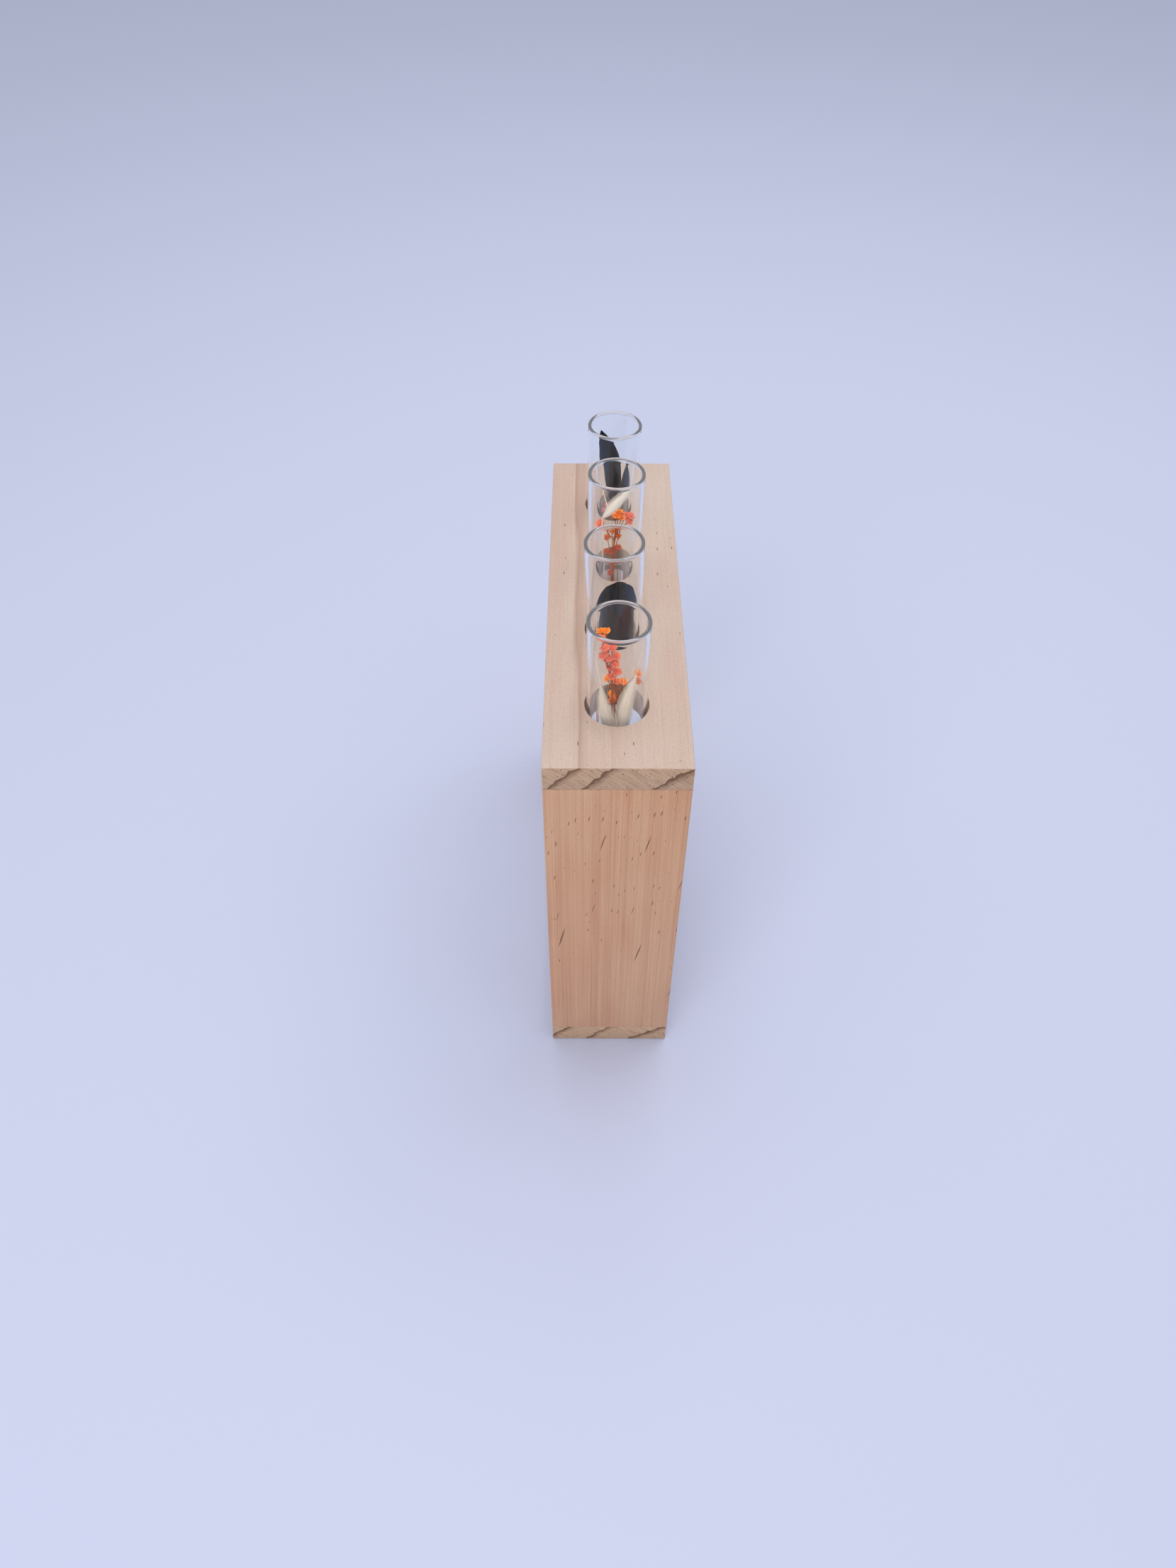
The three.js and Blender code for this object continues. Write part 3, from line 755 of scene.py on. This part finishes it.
petalShape = {
    "sides": 10,
    "rings": 7,
    "full": 1.1,  # how wide a petal starts, and how much of that it loses by its tip
    "taper": 0.45,
    "curlFrom": -0.4,  # where it lies lowest, from -1 at its base to 1 at its tip
    "liftSpread": 14,  # degrees
    "reachSpread": (0.85, 1.1),
    "middle": 0.55,  # shares of its reach
    "halfLength": 0.6,
    "halfWidth": 0.48,  # shares of the floret's size
    "halfWall": 0.14,
}
bladeShape = {
    "cellsAcross": 14,
    "cellsAlong": 30,
    "leastWidth": 0.02,  # the least bulge, at its ends, as a share of the most
    "leanLateness": 6,  # the higher, the nearer to its tip a blade leans over
    "creaseWidth": 0.12,  # share of its half width
    "wavesAcross": 1.5,
    "wavesAlong": 7,
}
stalkIndex, faceIndex = 0, 1  # in a dried piece's list of materials


def spotOf(place):
    return Vector((place[0], place[1], vial["length"] - place[2]))


def footOf(place):
    # where a stem stands on the round bottom
    outer = vialRadius / mm
    out = math.hypot(*place) + tubes["stem"]["width"] / 2
    height = outer - math.sqrt((outer - vial["wall"]) ** 2 - out ** 2) + flower["footGap"]
    return Vector((*place, height))


def litShareOf(bunch, drop):
    # 1 for a floret in full light, less for a lower one darkened towards rust by painted shade
    if "shadeDrops" not in bunch:
        return 1.0
    start, end = bunch["shadeDrops"]
    return 1.0 - flower["deepestShade"] * min(1, max(0, (drop - start) / (end - start)))


def smoothPath(points, perSpan=8):
    last = len(points) - 1
    tangents = [(points[min(i + 1, last)] - points[max(i - 1, 0)]).normalized() for i in range(last + 1)]
    path = []
    for i in range(last):
        reach = (points[i + 1] - points[i]).length / 3
        handles = points[i] + tangents[i] * reach, points[i + 1] - tangents[i + 1] * reach
        path += geometry.interpolate_bezier(points[i], *handles, points[i + 1], perSpan + 1)[:-1]
    return path + [points[-1]]


def alongPath(path, share):
    spot = min(share, 0.9999) * (len(path) - 1)
    i = int(spot)
    return path[i].lerp(path[i + 1], spot - i), (path[i + 1] - path[i]).normalized()


def addTube(bm, path, tube):
    # a circle drawn out along a path
    ring = bmesh.ops.create_circle(bm, cap_ends=True, segments=tube["sides"], radius=1)["verts"]
    rings = [ring]
    for _ in path[1:]:
        walls = bmesh.ops.extrude_edge_only(bm, edges=ringEdges(ring))
        ring = newItems(walls, bmesh.types.BMVert)
        rings.append(ring)
    last = len(path) - 1
    for i, ring in enumerate(rings):
        ahead = (path[min(i + 1, last)] - path[max(i - 1, 0)]).to_track_quat("Z", "Y")
        width = tube["width"] * (1 + (tube["taper"] - 1) * i / last)
        fit = Matrix.LocRotScale(path[i], ahead, Vector((width, width, width)) / 2)
        bmesh.ops.transform(bm, matrix=fit, verts=ring)
    bmesh.ops.contextual_create(bm, geom=ringEdges(rings[-1]))
    for face in facesOf(vert for ring in rings for vert in ring):
        face.material_index = stalkIndex


def addPetals(bm, place, look, draw, layer, count, size, lift, litShare):
    shape = petalShape
    start = draw.uniform(0, math.tau)
    for number in range(count):
        ball = bmesh.ops.create_uvsphere(bm, u_segments=shape["sides"], v_segments=shape["rings"], radius=1)
        for vert in ball["verts"]:
            share = (vert.co.x + 1) / 2
            # the lit share lowers the petal share, which lays painted shade on the lower florets
            vert[layer] = share * litShare
            vert.co.y *= shape["full"] - shape["taper"] * share ** 3
            vert.co.z += look["curl"] * (vert.co.x - shape["curlFrom"]) ** 2
        raised = math.radians(lift + draw.uniform(-shape["liftSpread"], shape["liftSpread"]))
        reach = size * draw.uniform(*shape["reachSpread"])
        halves = reach * shape["halfLength"], size * shape["halfWidth"], size * shape["halfWall"]
        fit = (place @ Matrix.Rotation(start + math.tau * number / count, 4, "Z")
               @ Matrix.Rotation(-raised, 4, "Y")
               @ Matrix.Translation((reach * shape["middle"], 0, 0))
               @ Matrix.Diagonal((*halves, 1)))
        bmesh.ops.transform(bm, matrix=fit, verts=ball["verts"])
        for face in facesOf(ball["verts"]):
            face.material_index = faceIndex


def addBall(bm, place, size, shape, layer, index):
    spot = place @ Matrix.Translation((0, 0, size * shape["rise"]))
    ball = bmesh.ops.create_icosphere(bm, subdivisions=2, radius=size * shape["radius"], matrix=spot)
    for vert in ball["verts"]:
        vert[layer] = shape["share"]
    for face in facesOf(ball["verts"]):
        face.material_index = index


def addFloret(bm, head, ahead, look, draw, layer, litShare):
    # an open ring of petals round a tighter one and a dark heart, on a small cup
    size = flower["width"] / 2 * draw.uniform(*flower["widthSpread"])
    place = Matrix.Translation(head) @ ahead.to_track_quat("Z", "Y").to_matrix().to_4x4()
    addPetals(bm, place, look, draw, layer, flower["petals"], size, look["open"], litShare)
    inside = place @ Matrix.Translation((0, 0, size * flower["innerRise"]))
    innerSize, innerLift = size * flower["innerSize"], look["open"] + flower["innerOpen"]
    addPetals(bm, inside, look, draw, layer, flower["innerPetals"], innerSize, innerLift, litShare)
    addBall(bm, place, size, flower["heart"], layer, faceIndex)
    addBall(bm, place, size, flower["cup"], layer, stalkIndex)


def addBlade(bm, blade, wall):
    # a leaf or husk: a sheet shaped along a spine and rolled across its width
    shape = bladeShape
    path = smoothPath([spotOf(place) for place in blade["spine"]])
    outward = Vector(blade["faces"])
    roll = blade["roll"]
    fullest = blade.get("fullest", 0.5)
    skew = math.log(0.5) / math.log(fullest)
    grid = bmesh.ops.create_grid(bm, x_segments=shape["cellsAcross"], y_segments=shape["cellsAlong"],
                                 size=1, calc_uvs=True)["verts"]
    for vert in grid:
        u, share = vert.co.x, (vert.co.y + 1) / 2
        spot, along = alongPath(path, share)
        across = along.cross(outward).normalized()
        normal = across.cross(along)
        bulge = max(shape["leastWidth"], math.sin(math.pi * share ** skew))
        swell = bulge ** blade.get("sharpness" if share > fullest else "baseSharpness", 1.0)
        lean = blade.get("lean", 0.0) * share ** shape["leanLateness"]
        angle = (blade["halfWidth"] * swell * u + lean) / roll
        crease = blade.get("crease", 0.0) * math.exp(-(u / shape["creaseWidth"]) ** 2)
        ripplePlace = u * shape["wavesAcross"], share * shape["wavesAlong"], blade["halfWidth"]
        ripple = noise.noise(Vector(ripplePlace))
        rim = roll + blade.get("wave", 0.0) * u * u * ripple - crease
        vert.co = spot + across * rim * math.sin(angle) + normal * (rim * math.cos(angle) - roll)
    sheet = facesOf(grid)
    for face in sheet:
        face.material_index = faceIndex
    shell = bmesh.ops.solidify(bm, geom=sheet, thickness=wall)
    for face in newItems(shell, bmesh.types.BMFace):
        face.material_index = faceIndex
    return path


def makeDried(bunch, number):
    look = bunch["look"]
    draw = random.Random(bunch["node"])
    bm = bmesh.new()
    bm.loops.layers.uv.new("UVMap")
    layer = bm.verts.layers.float.new("petalShareAndShade")
    stem = smoothPath([footOf(bunch["foot"])] + [spotOf(place) for place in bunch["stem"]], perSpan=10)
    addTube(bm, stem, tubes["stem"])
    for place in bunch.get("florets", []):
        head = spotOf(place)
        fork = min(head.z - flower["pedicelRise"], stem[-2].z)
        start = min(stem, key=lambda spot: abs(spot.z - fork))
        bend = start.lerp(head, 0.5) - Vector((0, 0, flower["pedicelSag"]))
        stalk = smoothPath([start, bend, head], perSpan=5)
        addTube(bm, stalk, tubes["pedicel"])
        addFloret(bm, head, (head - stalk[-2]).normalized(), look, draw, layer, litShareOf(bunch, place[2]))
    for blade in bunch.get("blades", []):
        path = addBlade(bm, blade, look["wall"])
        behind = Vector(blade["faces"]) * flower["awnBehind"]
        if "awn" in blade:
            start, _ = alongPath(path, blade["awn"]["from"])
            awn = smoothPath([start - behind] + [spotOf(place) for place in blade["awn"]["through"]])
            addTube(bm, awn, tubes["awn"])
        for share, tip in blade.get("bristles", []):
            start, ahead = alongPath(path, share)
            start, end = start - behind, spotOf(tip)
            middle = start.lerp(end, 0.5) + ahead * flower["bristleArch"]
            addTube(bm, smoothPath([start, middle, end], perSpan=4), tubes["bristle"])
    bmesh.ops.recalc_face_normals(bm, faces=bm.faces[:])
    bmesh.ops.transform(bm, matrix=vialPlace(number), verts=bm.verts[:])
    materials = [look["stalk"], look["face"]]
    node = bunch["node"]
    finishPiece(node + "_dried", bm, materials, f"bunch_{number}", node, 60)


front, rear = (0, -1, 0), (0, 1, 0)
bunches = [
    [
        {
            "node": "coral_sprig_1",
            "look": looks["coral"],
            "foot": (-2.5, 1),
            "stem": [(-2, 1.2, 100), (-1.4, 1, 30), (-2.2, 0.4, 19)],
            "florets": [(-4.8, 0.5, 7.4), (-3.8, 0, 10.2), (-1.7, 1, 11.4), (-4, -0.6, 12.4),
                        (-0.6, 0.6, 13.9), (-2.4, -0.8, 13.6), (-0.9, -0.6, 15.6), (-2.1, 0, 17.6),
                        (-0.3, -0.6, 18.5), (-3.1, 0.6, 15.2), (-1.1, 0.3, 17.3), (-1.6, -1.3, 19.6)],
        },
        {
            "node": "orange_sprig_1",
            "look": looks["orange"],
            "shadeDrops": (27, 36),  # mm of drop where the painted shade on the florets starts, and where it is deepest
            "foot": (1.5, 3.2),
            "stem": [(1.2, 3.6, 100), (0.4, 3.4, 34), (-2, 3.8, 18), (-3.6, 4, 12)],
            "florets": [(-4.8, 3.7, 7.5), (-3.5, 3.9, 7.7), (-2.8, 2.8, 24.2), (0, 2.2, 24.9),
                        (1.5, 1.7, 24.5), (5.8, 1.8, 21.2), (5.8, 1.2, 23.6), (-1.5, 3.3, 31),
                        (-1, 3.3, 33.4)],
        },
        {
            "node": "oat_spikelet_1",
            "look": looks["oat"],
            "foot": (1.5, -2.5),
            "stem": [(1.6, -2.6, 100), (0.9, -3, 45)],
            "blades": [
                {
                    "spine": [(0.2, -3.2, 47), (-2.2, -3.6, 37), (-4, -3.6, 28), (-4.8, -3.4, 19.5)],
                    "halfWidth": 3, "fullest": 0.35, "roll": 3.2, "faces": front,
                    "awn": {"from": 0.75,
                            "through": [(-4.8, -3.5, 19.5), (-5.8, -3, 14.2), (-6.2, -2.6, 8.6)]},
                    "bristles": [(0.5, (-2.4, -2.4, 20)), (0.7, (-5.3, -2.6, 16.5))],
                },
                {
                    "spine": [(1, -3, 46), (1.9, -3.4, 36), (2.9, -3.6, 26), (5, -3.6, 16)],
                    "halfWidth": 3.1, "roll": 3.2, "faces": front,
                    "awn": {"from": 0.5, "through": [(4.8, -2.2, 20), (6.9, -1.5, 6.5)]},
                    "bristles": [(0.5, (1.3, -3, 17.2)), (0.55, (3.7, -2.8, 12.6)), (0.6, (2.6, -3, 16)),
                                 (0.7, (4.2, -2.9, 13.4)), (0.8, (5.6, -3, 11.5))],
                },
            ],
        },
    ],
    [
        {
            "node": "broad_leaf_2",
            "look": looks["leaf"],
            "foot": (-1, 2.5),
            "stem": [(-0.8, 3, 100), (0, 5, 62)],
            "blades": [{
                "spine": [(0, 5, 64), (0, 6.8, 44), (0, 7, 19.5)],
                "halfWidth": 10.4, "fullest": 0.72, "sharpness": 0.3, "baseSharpness": 0.6, "lean": -4.5,
                "roll": 7, "faces": rear, "crease": 0.3, "wave": 0.6,
            }],
        },
        {
            "node": "small_leaf_2",
            "look": looks["leaf"],
            "foot": (2.5, -2.5),
            "stem": [(3, -3, 100), (4, -4, 48)],
            "blades": [{
                "spine": [(4, -4, 50), (5.4, -3.4, 40), (6.6, -1.6, 29.7)],
                "halfWidth": 1.4, "roll": 4, "faces": (0.6, -0.8, 0), "crease": 0.1,
            }],
        },
    ],
    [
        {
            "node": "oat_spikelet_3",
            "look": looks["oat"],
            "foot": (-2.5, -2.5),
            "stem": [(-3, -3, 100), (-4.6, -3, 24), (-4, -2.8, 14)],
            "blades": [{
                "spine": [(-4.4, -2.8, 15), (-0.2, -2.5, 9.8), (5, -1.6, 4)],
                "halfWidth": 2.3, "roll": 3, "faces": (0, -1, 0.2),
                "awn": {"from": 0.25, "through": [(-3.6, -1, 8), (-5.6, 0.6, 3)]},
            }],
        },
        {
            "node": "orange_sprig_3",
            "look": looks["orange"],
            "shadeDrops": (14, 27),
            "foot": (0.5, 2),
            "stem": [(0.4, 2.2, 100), (-0.8, 2, 36), (0.3, 1.7, 24)],
            "florets": [(0.2, 1, 16.8), (2, 1.4, 17.6), (1.2, 2.6, 16.4), (-0.9, 1.4, 22.6),
                        (0.8, 1.8, 22.2), (-2.8, 1, 24.8), (-2.9, 1.2, 30.6), (0.6, 1.4, 29.6),
                        (1.7, 1.2, 29), (1.4, 1.6, 24.8), (-1.2, 1.4, 31), (-0.6, 1.5, 36.7),
                        (-1.4, 1, 38.9), (0.6, 1.8, 35.8)],
        },
        {
            "node": "coral_sprig_3",
            "look": looks["coral"],
            "foot": (0.5, 4.2),
            "stem": [(0.3, 4.8, 100), (0, 5.2, 40), (0, 5.2, 27)],
            "florets": [(4.3, 2.6, 19.6), (5, 3.3, 18.4), (3.6, 4.4, 18.6), (-4.8, 1.4, 20),
                        (-4.3, 2.6, 20.8)],
        },
    ],
    [
        {
            "node": "long_leaf_4",
            "look": looks["leaf"],
            "foot": (1.5, 1),
            "stem": [(1.6, 1, 100), (0.9, 0.6, 34)],
            "blades": [{
                "spine": [(0.8, 0.6, 36), (0.3, 0.4, 26), (-1.6, 0.5, 13), (-4.6, 1, 2.9)],
                "halfWidth": 4, "fullest": 0.55, "sharpness": 0.8, "roll": 5, "faces": front,
                "crease": 0.25, "wave": 0.4,
            }],
        },
        {
            "node": "small_leaf_4",
            "look": looks["leaf"],
            "foot": (3, -1.5),
            "stem": [(3.6, -1.4, 100), (4.4, -1.4, 29)],
            "blades": [{
                "spine": [(4.4, -1.4, 31), (4.9, -1.7, 22), (4.9, -1.7, 13.2)],
                "halfWidth": 2.1, "roll": 5, "faces": (0.3, -0.95, 0), "crease": 0.1,
            }],
        },
        {
            "node": "pink_sprig_4",
            "look": looks["pink"],
            "foot": (-2.5, -1.5),
            "stem": [(-3, -1.8, 100), (-3.4, -2, 38)],
            "florets": [(-3.2, -2.2, 30), (-4.6, -1.6, 32.6), (-2, -2.8, 33.4)],
        },
    ],
]
for number, pieces in enumerate(bunches, 1):
    for bunch in pieces:
        makeDried(bunch, number)
print("bunches made")


# floor and light
studio = {
    "floorSize": 6.0,  # metres, as are the lamps
    "floorGap": 0.2,  # mm under the stand
    "floor": paint(200, 205, 230),
    "skyHigh": (0.95, 0.97, 1.0, 1),
    "skyLow": (0.7, 0.72, 0.78, 1),
    "skyBand": (0.1, 0.85),  # from level to straight up, where it turns from low to high
    "skyStrength": 0.7,
    "lamps": {
        "overhead": {"place": (0.15, 0.25, 1.1), "size": 0.9, "watts": 5.0, "colour": (1.0, 0.98, 0.96)},
        "frontFill": {"place": (-0.4, -1.0, 0.8), "size": 0.8, "watts": 5.0, "colour": (1.0, 0.97, 0.95)},
    },
    "lampAim": (0, 0, 0.1),
}


def makeFloor():
    bm = bmesh.new()
    bmesh.ops.create_grid(bm, x_segments=1, y_segments=1, size=studio["floorSize"] / 2)
    mesh = bpy.data.meshes.new("floor")
    bm.to_mesh(mesh)
    bm.free()
    material, _, shader = newMaterial("plain paper")
    shader.inputs["Base Color"].default_value = studio["floor"]
    shader.inputs["Roughness"].default_value = 0.9
    shader.inputs["Specular IOR Level"].default_value = 0.1
    mesh.materials.append(material)
    floor = bpy.data.objects.new("floor", mesh)
    floor.location.z = -studio["floorGap"] * mm
    scene.collection.objects.link(floor)


def makeSky():
    # bright overhead, dimmer round the room
    world = bpy.data.worlds.new("studio")
    scene.world = world
    world.use_nodes = True
    tree = world.node_tree
    up = addNode(tree, "SeparateXYZ", {0: addNode(tree, "TexCoord").outputs["Generated"]}).outputs[2]
    sky = tinted(tree, studio["skyLow"], up, *studio["skyBand"], 1.0, studio["skyHigh"])
    background = tree.nodes["Background"]
    tree.links.new(sky, background.inputs["Color"])
    background.inputs["Strength"].default_value = studio["skyStrength"]


def makeLamps():
    for name, look in studio["lamps"].items():
        lamp = bpy.data.lights.new(name, "AREA")
        lamp.size = look["size"]
        lamp.energy = look["watts"]
        lamp.color = look["colour"]
        lampObject = bpy.data.objects.new(name, lamp)
        lampObject.location = look["place"]
        aim = Vector(studio["lampAim"]) - Vector(look["place"])
        lampObject.rotation_euler = aim.to_track_quat("-Z", "Y").to_euler()
        scene.collection.objects.link(lampObject)


makeFloor()
makeSky()
makeLamps()
print("studio made")
